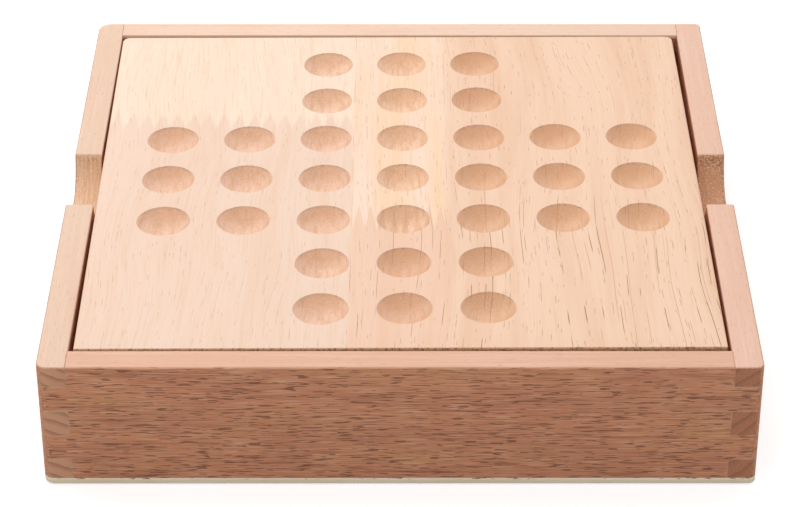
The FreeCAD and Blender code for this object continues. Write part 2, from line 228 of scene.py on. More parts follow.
@dataclass(frozen=True)
class SteamedBeech:
    """European beech, steamed to a pink brown, planed and sanded but not oiled.

    The eye sees fine fibre lines and short dark flecks along the grain, thick on the broad faces and
    sparse on the sanded top, slow red and ochre patches, end grain with slanting growth bands, and a
    rougher cut in the finger notch.

    Attributes:
        name: Material name.
        grain: The axis of the fibres.
        top_tone: Colour of the upper faces, pale partly from sanding and partly as painted light and sheen from above.
        face_tone: Colour of the broad upright faces, darker partly as painted shade.
        end_tone: Colour of the end grain.
        notch_tone: Colour of the cut in the finger notch.
        pits: How much of the notch's edge is torn into dark pits.
        ring_degrees: Slant of the growth bands on the end grain.
        seed: Offset of the figure, so that no two pieces are alike.
        flecks_on_top: Strength of the flecks on upper faces.
        joints: The box's finger joints, on a piece that has them.
    """

    name: str
    grain: Grain
    top_tone: str
    face_tone: str = "cb8964"
    end_tone: str = "b58463"
    notch_tone: str = "efc09a"
    pits: float = 0.3
    ring_degrees: float = 34.0
    seed: float = 0.0
    flecks_on_top: float = 0.28
    joints: BoxJoints | None = None

    def material(self) -> bpy.types.Material:
        """Write the material."""
        mix = Recipe(self.name)
        coords = mix.add("TexCoord")
        turn = math.pi / 2 if self.grain is Grain.ALONG_Y else 0.0
        place = mix.add("Mapping", {"Vector": coords.outputs["Object"], "Rotation": (0, 0, turn),
                                    "Scale": (1 / MM, 1 / MM, 1 / MM)})
        normal = mix.add("SeparateXYZ", {0: coords.outputs["Normal"]})
        where = mix.add("SeparateXYZ", {0: where_vector(mix, coords)})
        end = mix.ramp(mix.calc("ABSOLUTE", normal.outputs[self.grain.value]), 0.75, 0.95)
        upward = mix.ramp(normal.outputs[2], 0.5, 0.95)
        if self.joints:
            # Inner faces just under the rim take the top's pale colour: painted light that falls on them from above.
            upward = mix.calc("MAXIMUM", upward, self.lit_rim_band(mix, where))

        patches = mix.fibres(place, 34.0, 9.0, self.seed + 3.1, 3.0)
        streaks = mix.fibres(place, 34.0, 1.1, self.seed + 5.7, 3.0)
        threads = mix.fibres(place, 12.0, 0.3, self.seed + 8.2, 1.0)
        flecks = mix.fibres(place, 3.6, 0.34, self.seed + 1.3, 0.5)
        dashes = mix.fibres(place, 3.2, 0.26, self.seed + 9.9, 0.0)

        # The tops and the upright faces get tones of their own: partly the wood's own difference, partly painted light
        # and sheen on the tops and painted shade on the faces.
        face = mix.blend(mix.ramp(patches, 0.42, 0.66, 0.0, 0.6), linear(self.face_tone), linear("bf795b"))
        face = mix.blend(mix.ramp(patches, 0.42, 0.28, 0.0, 0.45), face, linear("c68f5b"))
        face = mix.blend(mix.ramp(streaks, 0.5, 0.3, 0.0, 0.5), face, linear("8d5636"))
        face = mix.blend(mix.ramp(threads, 0.5, 0.7, 0.0, 0.6), face, linear("e8b592"))
        face = mix.blend(mix.ramp(threads, 0.45, 0.3, 0.0, 0.45), face, linear("84502f"))
        top = mix.blend(mix.ramp(patches, 0.38, 0.7, 0.0, 0.3), linear(self.top_tone), linear("e6b396"))
        top = mix.blend(mix.ramp(streaks, 0.42, 0.72, 0.0, 0.22), top, linear("f7dcc7"))
        colour = mix.blend(upward, face, top)

        fleck = mix.ramp(flecks, 0.61, 0.68)
        dash = mix.ramp(dashes, 0.7, 0.78)
        on_face = mix.calc("MULTIPLY", mix.calc("MULTIPLY", fleck, 0.75), mix.calc("SUBTRACT", 1.0, upward))
        on_top = mix.calc("MULTIPLY", mix.calc("MULTIPLY", dash, self.flecks_on_top), upward)
        marks = mix.calc("MULTIPLY", mix.calc("ADD", on_face, on_top), mix.calc("SUBTRACT", 1.0, end))
        # Flecks are paler on the tops than on the faces: the same painted light and shade.
        colour = mix.blend(marks, colour, mix.blend(upward, linear("6a3a20"), linear("99613e")))

        rings = mix.add("TexWave", {"Vector": mix.add("Mapping", {
            "Vector": place, "Rotation": (math.radians(self.ring_degrees), 0, 0), "Location": (0, self.seed, 2.0),
            "Scale": (0.004, 0.09, 0.09)}), "Scale": 1.0, "Distortion": 2.5, "Detail": 2.0, "Detail Scale": 1.5},
            wave_type="BANDS", bands_direction="Z", wave_profile="SAW")
        pores = mix.fibres(place, 4.0, 0.22, self.seed + 2.2, 1.0)
        end_colour = mix.blend(mix.ramp(rings, 0.45, 0.98, 0.0, 0.55), linear(self.end_tone), linear("7a4b30"))
        end_colour = mix.blend(mix.ramp(pores, 0.45, 0.7, 0.0, 0.35), end_colour, linear("d0a686"))
        colour = mix.blend(end, colour, end_colour)
        cut = None
        if self.joints:
            colour = self.glue_lines(mix, coords, normal, where, colour)
            if self.grain is Grain.ALONG_Y:
                colour, cut = self.notch(mix, coords, normal, where, colour)

        relief = mix.calc("SUBTRACT", mix.calc("MULTIPLY", threads, 0.6), mix.calc("MULTIPLY", marks, 0.8))
        relief = mix.calc("ADD", relief, mix.calc("MULTIPLY", end, pores))
        if cut:
            relief = mix.calc("ADD", relief, cut)
        roughness = mix.ramp(threads, 0.2, 0.8, 0.52, 0.7)
        return mix.finish(colour, roughness, relief, 0.05)

    def lit_rim_band(self, mix: Recipe, where: bpy.types.Node) -> bpy.types.Node:
        """Give 1 on the inner faces just under the rim, which take the top's pale colour as painted light from above.
        """
        reach = mix.calc("MAXIMUM", mix.calc("ABSOLUTE", where.outputs[0]), mix.calc("ABSOLUTE", where.outputs[1]))
        inside = mix.ramp(reach, self.joints.seam + 0.7, self.joints.seam + 0.4)
        return mix.calc("MULTIPLY", inside, mix.ramp(where.outputs[2], self.joints.rim, self.joints.rim + 0.6))

    def notch(self, mix: Recipe, coords: bpy.types.Node, normal: bpy.types.Node, where: bpy.types.Node,
              colour: Any) -> tuple[bpy.types.Node, bpy.types.Node]:
        """Lay the rough cut of the finger notch over the colour.

        Args:
            mix: The recipe in hand.
            coords: Its texture coordinates.
            normal: The separated normal.
            where: The separated position in millimetres.
            colour: The colour so far.

        Returns:
            The colour with the notch, and the relief of the cut.
        """
        x, y, z = where.outputs
        flat = where_vector(mix, coords)
        area = mix.calc("MULTIPLY", mix.ramp(mix.calc("ABSOLUTE", y), self.joints.notch, self.joints.notch - 0.5),
                        mix.calc("MULTIPLY", mix.ramp(z, 39.75, 39.45),
                                 mix.ramp(mix.calc("ABSOLUTE", normal.outputs[0]), 0.6, 0.4)))
        grit = mix.add("TexNoise", {"Vector": flat, "Scale": 1.9, "Detail": 3.0, "Roughness": 0.6})
        strands = mix.add("TexNoise", {"Vector": mix.add("Mapping", {"Vector": flat, "Scale": (2.2, 0.12, 0.12)}),
                                       "Scale": 1.0, "Detail": 2.0})
        cut = mix.blend(mix.ramp(strands, 0.4, 0.65, 0.0, 0.4), linear(self.notch_tone), linear("c98f66"))
        cut = mix.blend(mix.ramp(grit, 0.52, 0.66, 0.0, 0.5), cut, linear("fbdcb4"))
        brim = mix.calc("MAXIMUM", mix.ramp(z, 35.0, 38.6), mix.ramp(mix.calc("ABSOLUTE", x), 98.6, 99.6))
        pitted = mix.calc("MULTIPLY", mix.ramp(grit, 0.44, 0.37), mix.calc("MULTIPLY", brim, self.pits))
        cut = mix.blend(pitted, cut, linear("4e2f1b"))
        return mix.blend(area, colour, cut), mix.calc("MULTIPLY", area, grit)

    def glue_lines(self, mix: Recipe, coords: bpy.types.Node, normal: bpy.types.Node, where: bpy.types.Node,
                   colour: Any) -> bpy.types.Node:
        """Draw thin pale glue lines round the finger joints.

        Args:
            mix: The recipe in hand.
            coords: Its texture coordinates.
            normal: The separated normal.
            where: The separated position in millimetres.
            colour: The colour so far.

        Returns:
            The colour with the lines.
        """
        joints = self.joints
        across = [mix.calc("ABSOLUTE", where.outputs[axis]) for axis in (0, 1)]
        level = None
        for height in joints.levels:
            gap = mix.calc("ABSOLUTE", mix.calc("SUBTRACT", where.outputs[2], height))
            level = gap if level is None else mix.calc("MINIMUM", level, gap)
        phase = mix.calc("MODULO", mix.calc("SUBTRACT", where.outputs[2], joints.levels[0] - joints.finger),
                         2 * joints.finger)
        tongue = mix.calc("GREATER_THAN", phase, joints.finger)
        shown = (mix.calc("SUBTRACT", 1.0, tongue), tongue)
        lines = None
        for axis in (0, 1):
            facing = mix.ramp(mix.calc("ABSOLUTE", normal.outputs[1 - axis]), 0.7, 0.9)
            seam = mix.calc("ABSOLUTE", mix.calc("SUBTRACT", across[axis], joints.seam))
            upright = mix.calc("MULTIPLY", mix.ramp(seam, 0.26, 0.1), shown[axis])
            in_joint = mix.ramp(across[axis], joints.seam - 0.3, joints.seam - 0.1)
            lying = mix.calc("MULTIPLY", mix.ramp(level, 0.26, 0.1), in_joint)
            line = mix.calc("MULTIPLY", facing, mix.calc("MAXIMUM", upright, lying))
            lines = line if lines is None else mix.calc("MAXIMUM", lines, line)
        worn = mix.fibres(where_vector(mix, coords), 3.0, 3.0, 4.4, 2.0)
        return mix.blend(mix.calc("MULTIPLY", lines, mix.ramp(worn, 0.35, 0.62, 0.1, 0.6)), colour, linear("dcb596"))


def where_vector(mix: Recipe, coords: bpy.types.Node) -> bpy.types.Node:
    """Give the position in millimetres, unturned."""
    return mix.add("VectorMath", {0: coords.outputs["Object"], "Scale": 1 / MM}, operation="SCALE")


@dataclass(frozen=True)
class ThinPly:
    """Three-ply poplar panel, sanded with the walls.

    The eye sees a pale cream edge with a greyer core, and a few dark chips where the edge meets the beech.

    Attributes:
        name: Material name.
        thickness: Thickness of the panel in millimetres.
    """

    name: str = "poplar_ply_sanded"
    thickness: float = 2.2

    def material(self) -> bpy.types.Material:
        """Write the material."""
        mix = Recipe(self.name)
        coords = mix.add("TexCoord")
        place = where_vector(mix, coords)
        height = mix.add("SeparateXYZ", {0: place}).outputs[2]
        core = mix.calc("MULTIPLY", mix.ramp(height, 0.62, 0.8), mix.ramp(height, 1.6, 1.42))
        broad = mix.fibres(place, 40.0, 7.0, 2.0, 3.0)
        fine = mix.fibres(place, 6.0, 0.4, 6.0, 2.0)
        chips = mix.fibres(place, 2.6, 0.5, 11.0, 1.0)
        colour = mix.blend(mix.ramp(broad, 0.3, 0.7), linear("fff0da"), linear("f8e4c6"))
        colour = mix.blend(mix.calc("MULTIPLY", core, 0.35), colour, linear("e2d0ac"))
        colour = mix.blend(mix.ramp(fine, 0.5, 0.8, 0.0, 0.25), colour, linear("d2bb91"))
        seam = mix.ramp(height, self.thickness - 0.6, self.thickness - 0.1)
        chip = mix.calc("MULTIPLY", seam, mix.ramp(chips, 0.58, 0.66, 0.0, 0.95))
        colour = mix.blend(chip, colour, linear("6d4a30"))
        return mix.finish(colour, mix.ramp(fine, 0.2, 0.8, 0.6, 0.8), mix.calc("SUBTRACT", fine, chip), 0.05)


@dataclass(frozen=True)
class Stave:
    """One length of wood in the glued-up board.

    Attributes:
        tone: Its main colour.
        band_tone: The colour of its slow bands.
        cut_tone: Its colour where a hollow is milled into it.
        pores: Strength of its short pore lines.
        lines: Strength of its long dark lines.
    """

    tone: str
    band_tone: str
    cut_tone: str
    pores: float
    lines: float


@dataclass(frozen=True)
class BoardLayout:
    """Where the staves of the board meet, in millimetres from the middle of the box.

    Attributes:
        seams: The two long glue lines between the three staves.
        left_joint: Low and high end and pitch of the left stave's toothed joint.
        middle_joint: The same for the middle stave.
    """

    seams: tuple[float, float] = (-14.3, 14.2)
    left_joint: tuple[float, float, float] = (30.5, 40.0, 4.8)
    middle_joint: tuple[float, float, float] = (-28.0, -14.7, 3.45)


@dataclass(frozen=True)
class RubberwoodPanel:
    """Rubberwood staves, finger-jointed end to end and glued side by side, then sanded.

    The eye sees five pale pieces of slightly different cream and pink, dark open pores as thin lines
    along the grain, toothed joints, brown end grain on the front and back edges, and rougher, speckled
    wood where the hollows cut across the fibres. The specks in the hollows are partly pale crumbs and
    partly painted glints, and the hollows' walls that face the back and the left carry painted shade.

    Attributes:
        name: Material name.
        layout: Where the staves meet.
        left_back: The palest piece.
        left_front: Pinker piece with faint pores.
        middle_back: Yellowish cream piece.
        middle_front: Pinkish piece with pores.
        right: The one stave without a joint, with the strongest figure.
    """

    name: str = "rubberwood_finger_jointed_sanded"
    layout: BoardLayout = BoardLayout()
    left_back: Stave = Stave("f8dec8", "f6d8c0", "f8d4bb", 0.3, 0.15)
    left_front: Stave = Stave("f0d2bd", "eecbb3", "f6d0b8", 0.4, 0.15)
    middle_back: Stave = Stave("f8dac4", "f6d0ac", "f8d4b8", 0.55, 0.35)
    middle_front: Stave = Stave("f0c9af", "edc2a5", "edc3a5", 0.65, 0.6)
    right: Stave = Stave("f2cdb1", "ebc1a2", "ebc1a0", 0.65, 0.85)

    def material(self) -> bpy.types.Material:
        """Write the material."""
        mix = Recipe(self.name)
        coords = mix.add("TexCoord")
        flat = where_vector(mix, coords)
        where = mix.add("SeparateXYZ", {0: flat})
        x, y = where.outputs[0], where.outputs[1]
        normal = mix.add("SeparateXYZ", {0: coords.outputs["Normal"]})
        drift = mix.add("TexNoise", {"Vector": mix.add("Mapping", {"Vector": flat, "Scale": (0.02, 0.012, 0.02)}),
                                     "Scale": 1.0, "Detail": 1.0})
        waver = mix.calc("MULTIPLY", mix.calc("SUBTRACT", drift, 0.5), 14.0)
        lean = mix.calc("MULTIPLY", y, mix.ramp(x, 38.0, 62.0, 0.0, 0.05))
        across = mix.calc("ADD", mix.calc("ADD", x, waver), lean)
        bent = mix.add("CombineXYZ", {0: y, 1: across, 2: where.outputs[2]})

        right = mix.ramp(x, self.layout.seams[1] - 1.5, self.layout.seams[1] + 1.5)
        left = mix.ramp(x, self.layout.seams[0] + 1.0, self.layout.seams[0] - 1.0)
        left_back = self.beyond(mix, x, y, self.layout.left_joint)
        middle_back = self.beyond(mix, x, y, self.layout.middle_joint)
        pick = {what: self.choose(mix, what, left, right, left_back, middle_back)
                for what in ("tone", "band_tone", "cut_tone", "pores", "lines")}

        bands = mix.fibres(bent, 150.0, 7.0, 1.0, 3.0)
        fine = mix.fibres(bent, 16.0, 0.5, 4.0, 3.0)
        front = mix.ramp(y, 25.0, -60.0)
        pores = self.pore_lines(mix, across, y, 1.3, 0.13, 5.0, 0.58, 3.0)
        lines = self.pore_lines(mix, across, y, 3.1, 0.15, 17.0, 0.52, 8.0)
        hair = self.pore_lines(mix, across, y, 2.3, 0.14, 30.0, 0.5, 5.0)

        colour = mix.blend(mix.ramp(bands, 0.35, 0.7), pick["tone"], pick["band_tone"])
        colour = mix.blend(mix.ramp(fine, 0.48, 0.7, 0.0, 0.4), colour, linear("e6bd98"))
        pores = mix.calc("MULTIPLY", pores, pick["pores"])
        lines = mix.calc("MULTIPLY", mix.calc("MULTIPLY", lines, pick["lines"]),
                         mix.ramp(front, 0.0, 1.0, 0.25, 0.9))
        hair = mix.calc("MULTIPLY", mix.calc("MULTIPLY", hair, pick["lines"]),
                        mix.calc("MULTIPLY", front, mix.ramp(x, 30.0, 60.0, 0.1, 0.6)))
        for amount, tone in ((pores, "b47a4c"), (hair, "b56a3c"), (lines, "74340f")):
            colour = mix.blend(amount, colour, linear(tone))
        glued = mix.calc("MINIMUM", *(mix.calc("ABSOLUTE", mix.calc("SUBTRACT", x, seam)) for seam in self.layout.seams))
        worn = mix.fibres(bent, 20.0, 6.0, 31.0, 1.0)
        colour = mix.blend(mix.calc("MULTIPLY", mix.ramp(glued, 0.2, 0.06), mix.ramp(worn, 0.45, 0.62, 0.0, 0.45)),
                           colour, linear("c0925f"))

        milled = mix.add("Attribute", attribute_name="milled").outputs["Fac"]
        slope = mix.ramp(mix.calc("ABSOLUTE", normal.outputs[1]), 0.15, 0.75)
        grit = mix.add("TexVoronoi", {"Vector": flat, "Scale": 1.9, "Randomness": 1.0}, feature="F1")
        crumbs = mix.add("TexNoise", {"Vector": flat, "Scale": 1.3, "Detail": 3.0})
        bowl = mix.blend(slope, pick["cut_tone"], mix.blend(1.0, pick["cut_tone"], linear("f4e6d8"), "MULTIPLY"))
        # Walls of the hollows that face the back and the left, towards the key lamp, are darkened and warmed: painted
        # shade that evens out the key light on them, with a painted orange tint of that light.
        key_side_shade = mix.ramp(mix.calc("SUBTRACT", mix.calc("MULTIPLY", normal.outputs[1], 0.9),
                                    mix.calc("MULTIPLY", normal.outputs[0], 0.5)), -0.1, 0.6)
        bowl = mix.blend(key_side_shade, bowl, mix.blend(1.0, bowl, linear("f2e9dc"), "MULTIPLY"))
        strands = mix.fibres(bent, 30.0, 1.6, 17.0, 2.0)
        bowl = mix.blend(mix.ramp(strands, 0.42, 0.68, 0.0, 0.5), bowl, linear("dba97e"))
        bowl = mix.blend(mix.ramp(crumbs, 0.45, 0.62, 0.0, 0.35), bowl, linear("d9ae8a"))
        # Bright specks on the hollows' walls that face the camera: painted glints, partly pale crumbs of torn fibre.
        facing = mix.calc("MULTIPLY", slope, mix.ramp(normal.outputs[1], 0.1, -0.3, 0.25, 1.0))
        torn = mix.calc("MULTIPLY", facing, mix.ramp(mix.calc("ADD", x, mix.calc("MULTIPLY", y, 0.8)), 20.0, -25.0, 0.3, 1.0))
        glints_and_crumbs = mix.calc("MULTIPLY", mix.ramp(grit.outputs[0], 0.36, 0.16), mix.ramp(torn, 0.0, 0.7, 0.05, 0.7))
        bowl = mix.blend(glints_and_crumbs, bowl, linear("ffecca"))
        bowl = mix.blend(mix.calc("MULTIPLY", mix.calc("ADD", pores, lines), 0.5), bowl, linear("8f6546"))
        colour = mix.blend(mix.calc("MULTIPLY", milled, 0.9), colour, bowl)

        uncut = mix.calc("SUBTRACT", 1.0, milled)
        side = mix.calc("MULTIPLY", mix.ramp(mix.calc("ABSOLUTE", normal.outputs[0]), 0.4, 0.8), uncut)
        colour = mix.blend(mix.calc("MULTIPLY", side, 0.5), colour, linear("e2b592"))
        end = mix.calc("MULTIPLY", mix.ramp(mix.calc("ABSOLUTE", normal.outputs[1]), 0.25, 0.6), uncut)
        end_wood = mix.blend(mix.ramp(crumbs, 0.5, 0.64), linear("bb8b62"), linear("6a4529"))
        colour = mix.blend(mix.calc("MULTIPLY", end, 0.85), colour, end_wood)

        relief = mix.calc("SUBTRACT", mix.calc("MULTIPLY", fine, 0.4), mix.calc("MULTIPLY", mix.calc("ADD", pores, lines), 0.3))
        rough_cut = mix.calc("MULTIPLY", milled, mix.calc("ADD", crumbs, mix.calc("MULTIPLY", glints_and_crumbs, 1.5)))
        relief = mix.calc("ADD", relief, mix.calc("MULTIPLY", rough_cut, 1.2))
        return mix.finish(colour, mix.ramp(milled, 0.0, 1.0, 0.58, 0.72), relief, 0.07)

    def pore_lines(self, mix: Recipe, across: Any, along: Any, pitch: float, width: float, length: float,
                   cover: float, seed: float) -> bpy.types.Node:
        """Draw thin lines along the grain, each at a place of its own and broken into lengths of its own.

        Args:
            mix: The recipe in hand.
            across: Position across the grain.
            along: Position along the grain.
            pitch: Mean distance between lines.
            width: Half of a line's width.
            length: Scale of the lengths that a line is broken into.
            cover: Noise level above which a line shows.
            seed: Offset that makes each use different.

        Returns:
            A node that is 1 on a line and 0 off it.
        """
        scaled = mix.calc("DIVIDE", across, pitch)
        number = mix.calc("FLOOR", scaled)
        spot = mix.add("TexWhiteNoise", {"W": mix.calc("ADD", number, seed)}, noise_dimensions="1D").outputs[0]
        gap = mix.calc("SUBTRACT", mix.calc("FRACT", scaled), mix.calc("MULTIPLY_ADD", spot, 0.7, 0.15))
        near = mix.ramp(mix.calc("ABSOLUTE", gap), width / pitch, 0.3 * width / pitch)
        path = mix.add("CombineXYZ", {0: mix.calc("DIVIDE", along, length), 1: mix.calc("MULTIPLY", number, 7.31),
                                      2: seed})
        run = mix.add("TexNoise", {"Vector": path, "Scale": 1.0, "Detail": 1.5})
        return mix.calc("MULTIPLY", near, mix.ramp(run, cover, cover + 0.08))

    def beyond(self, mix: Recipe, x: Any, y: Any, joint: tuple[float, float, float]) -> bpy.types.Node:
        """Tell which side of a toothed joint a point is on.

        Args:
            mix: The recipe in hand.
            x: Position across the board.
            y: Position along the board.
            joint: Low end, high end and pitch of the teeth.

        Returns:
            A node that is 1 beyond the joint, towards the back, and 0 before it.
        """
        low, high, pitch = joint
        tooth = mix.calc("PINGPONG", x, pitch / 2)
        edge = mix.calc("MULTIPLY_ADD", tooth, (high - low) / (pitch / 2), low)
        spread = mix.add("TexNoise", {"Vector": mix.add("CombineXYZ", {0: mix.calc("MULTIPLY", x, 1.3),
                                                                       1: mix.calc("MULTIPLY", y, 0.1)}),
                                      "Scale": 1.0, "Detail": 2.0})
        edge = mix.calc("ADD", edge, mix.calc("MULTIPLY", mix.calc("SUBTRACT", spread, 0.5), 7.0))
        return mix.ramp(mix.calc("SUBTRACT", y, edge), -2.2, 2.2)

    def choose(self, mix: Recipe, what: str, left: Any, right: Any, left_back: Any, middle_back: Any) -> bpy.types.Node:
        """Pick a property of the stave that a point lies on.

        Args:
            mix: The recipe in hand.
            what: Name of the stave's property.
            left: 1 on the left stave.
            right: 1 on the right stave.
            left_back: 1 beyond the left stave's joint.
            middle_back: 1 beyond the middle stave's joint.

        Returns:
            The node that holds the property.
        """
        staves = (self.left_front, self.left_back, self.middle_front, self.middle_back, self.right)
        values = [getattr(stave, what) for stave in staves]
        colours = [linear(v) if isinstance(v, str) else (v, v, v, 1.0) for v in values]
        left_colour = mix.blend(left_back, colours[0], colours[1])
        middle = mix.blend(middle_back, colours[2], colours[3])
        return mix.blend(right, mix.blend(left, middle, left_colour), colours[4])


@dataclass(frozen=True)
class TurnedBeech:
    """Beech balls, turned and tumbled smooth, with the grain of each lying its own way.

    The eye sees fine flecks and soft growth bands that close into ovals at the two ends of the grain.

    Attributes:
        name: Material name.
        position_attribute: Attribute with each point's place in its own ball.
        seed_attribute: Attribute with each ball's number.
    """

    name: str = "beech_turned_tumbled"
    position_attribute: str = "ball_position"
    seed_attribute: str = "ball_seed"

    def material(self) -> bpy.types.Material:
        """Write the material."""
        mix = Recipe(self.name)
        own = mix.add("Attribute", attribute_name=self.position_attribute).outputs["Vector"]
        seed = mix.add("Attribute", attribute_name=self.seed_attribute).outputs["Fac"]
        shift = mix.add("CombineXYZ", {0: mix.calc("MULTIPLY", seed, 37.0), 1: mix.calc("MULTIPLY", seed, 91.0)})
        place = mix.add("VectorMath", {0: mix.add("VectorMath", {0: own, "Scale": 1 / MM}, operation="SCALE"),
                                       1: shift}, operation="ADD")
        broad = mix.fibres(place, 30.0, 2.6, 1.0, 2.0)
        flecks = mix.fibres(place, 2.2, 0.4, 5.0, 1.0)
        fine = mix.fibres(place, 5.0, 0.3, 9.0, 2.0)
        tone = mix.blend(seed, linear("ecc6a2"), linear("dcab84"))
        colour = mix.blend(mix.ramp(broad, 0.35, 0.7, 0.0, 0.7), tone, linear("d39f78"))
        mark = mix.ramp(flecks, 0.58, 0.68, 0.0, 0.55)
        colour = mix.blend(mark, colour, linear("a97450"))
        return mix.finish(colour, mix.ramp(fine, 0.2, 0.8, 0.38, 0.52), mix.calc("SUBTRACT", fine, mark), 0.03)


def link_mesh(name: str, mesh: bpy.types.Mesh) -> bpy.types.Object:
    """Put a mesh in the scene as an object at the origin.

    Args:
        name: The object's name.
        mesh: Its mesh.

    Returns:
        The object.
    """
    mesh.name = name
    piece = bpy.data.objects.new(name, mesh)
    bpy.context.scene.collection.objects.link(piece)
    return piece


def baked(piece: bpy.types.Object) -> bpy.types.Mesh:
    """Turn an object with its modifiers into a plain mesh, and drop the object.

    Args:
        piece: The object, with live modifiers.

    Returns:
        The plain mesh.
    """
    bpy.context.view_layer.update()
    shaped = piece.evaluated_get(bpy.context.evaluated_depsgraph_get())
    mesh = bpy.data.meshes.new_from_object(shaped, preserve_all_data_layers=True,
                                           depsgraph=bpy.context.evaluated_depsgraph_get())
    bpy.data.objects.remove(piece)
    return mesh


def smooth_by_angle(mesh: bpy.types.Mesh, degrees: float) -> None:
    """Shade a mesh smooth, with edges sharper than an angle left crisp.

    Args:
        mesh: The mesh.
        degrees: The least angle of a crisp edge.
    """
    mesh.polygons.foreach_set("use_smooth", [True] * len(mesh.polygons))
    mesh.set_sharp_from_angle(angle=math.radians(degrees))


def settle(piece: bpy.types.Object, body: str, nodes: Iterable[str]) -> None:
    """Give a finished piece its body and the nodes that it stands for.

    Args:
        piece: The piece.
        body: The body that it rides on.
        nodes: The nodes that it replaces.
    """
    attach(piece, body)
    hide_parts(*nodes)
    LOG.info("%s: %d faces on %s", piece.name, len(piece.data.polygons), body)


class NodeTool:
    """A Geometry Nodes tree with named inputs, used once on one object."""

    def __init__(self, name: str, inputs: dict[str, tuple[str, Any]]) -> None:
        """Start a tree.

        Args:
            name: The tree's name.
            inputs: Name to socket type and value, besides the geometry.
        """
        self.tree = bpy.data.node_groups.new(name, "GeometryNodeTree")
        self.values = inputs
        self.tree.interface.new_socket("Geometry", in_out="INPUT", socket_type="NodeSocketGeometry")
        self.tree.interface.new_socket("Geometry", in_out="OUTPUT", socket_type="NodeSocketGeometry")
        self.identifiers = {}
        for label, (kind, _) in inputs.items():
            socket = self.tree.interface.new_socket(label, in_out="INPUT", socket_type=kind)
            self.identifiers[label] = socket.identifier
        self.start = self.tree.nodes.new("NodeGroupInput")

    def add(self, kind: str, inputs: dict | None = None, **settings: Any) -> bpy.types.Node:
        """Add a node by its full type name, as add_node does."""
        return add_node(self.tree, kind, inputs, **settings)

    def close(self, geometry: Any, material: bpy.types.Material, weld: float) -> None:
        """End the tree in real geometry with its material.

        Args:
            geometry: The node that holds the geometry.
            material: The material that it gets.
            weld: Points closer than this become one.
        """
        real = self.add("GeometryNodeRealizeInstances", {0: geometry})
        joined = self.add("GeometryNodeMergeByDistance", {"Geometry": real, "Distance": weld})
        dressed = self.add("GeometryNodeSetMaterial", {"Geometry": joined, "Material": material})
        self.add("NodeGroupOutput", {0: dressed})

    def apply(self, piece: bpy.types.Object) -> bpy.types.Mesh:
        """Run the tree on an object and give the plain mesh."""
        modifier = piece.modifiers.new(self.tree.name, "NODES")
        modifier.node_group = self.tree
        for label, (_, value) in self.values.items():
            modifier[self.identifiers[label]] = value
        return baked(piece)


@dataclass
class BoxShell:
    """The box: four finger-jointed walls, the base panel and the ledge strips.

    Attributes:
        body: The body that the pieces ride on.
        edge_mm: Radius that sanding leaves on each edge.
        tones: Colour of each wall's sanded top.
        ends: End grain's colour, notch's colour, its pits and the slant of the growth bands, of each side wall.
    """

    body: str = "box"
    edge_mm: float = 0.12
    tones: dict[str, str] = field(default_factory=lambda: {
        "left_wall": "e8c5ac", "right_wall": "e7bca4", "front_wall": "e2af92", "back_wall": "eecbb3"})
    ends: dict[str, tuple[str, str, float, float]] = field(default_factory=lambda: {
        "left_wall": ("cf9774", "e5bb97", 0.3, 24.0), "right_wall": ("ad6c4b", "c28a66", 1.0, -40.0)})

    def make(self) -> None:
        """Dress every piece of the box."""
        for number, (node, tone) in enumerate(self.tones.items()):
            grain = Grain.ALONG_Y if node in self.ends else Grain.ALONG_X
            end_tone, notch_tone, pits, slant = self.ends.get(node, self.ends["left_wall"])
            wood = SteamedBeech(f"beech_steamed_{node}", grain, tone, end_tone=end_tone, notch_tone=notch_tone,
                                pits=pits, ring_degrees=slant, seed=float(number), joints=BoxJoints())
            self.soften(node, wood.material())
        self.soften("base_panel", ThinPly().material())
        for number, side in enumerate(("front", "back", "left", "right")):
            grain = Grain.ALONG_X if side in ("front", "back") else Grain.ALONG_Y
            wood = SteamedBeech(f"beech_sawn_{side}_ledge", grain, "dfb596", seed=10.0 + number)
            self.soften(f"{side}_ledge", wood.material())

    def soften(self, node: str, material: bpy.types.Material) -> None:
        """Stand a copy with sanded edges in place of a node.

        Args:
            node: The node.
            material: The finish.
        """
        shape = bmesh.new()
        shape.from_mesh(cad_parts[node].data)
        bmesh.ops.remove_doubles(shape, verts=shape.verts, dist=0.001 * MM)
        bmesh.ops.dissolve_limit(shape, angle_limit=math.radians(1.0), verts=shape.verts, edges=shape.edges)
        mesh = bpy.data.meshes.new(f"{node}_sanded")
        shape.to_mesh(mesh)
        shape.free()
        mesh.materials.clear()
        mesh.materials.append(material)
        piece = link_mesh(f"{node}_sanded", mesh)
        bevel = piece.modifiers.new("sanded_edges", "BEVEL")
        bevel.width = self.edge_mm * MM
        bevel.segments = 2
        bevel.limit_method = "ANGLE"
        bevel.angle_limit = math.radians(32)
        mesh = baked(piece)
        smooth_by_angle(mesh, 24)
        piece = link_mesh(f"{node}_sanded", mesh)
        settle(piece, self.body, [node])


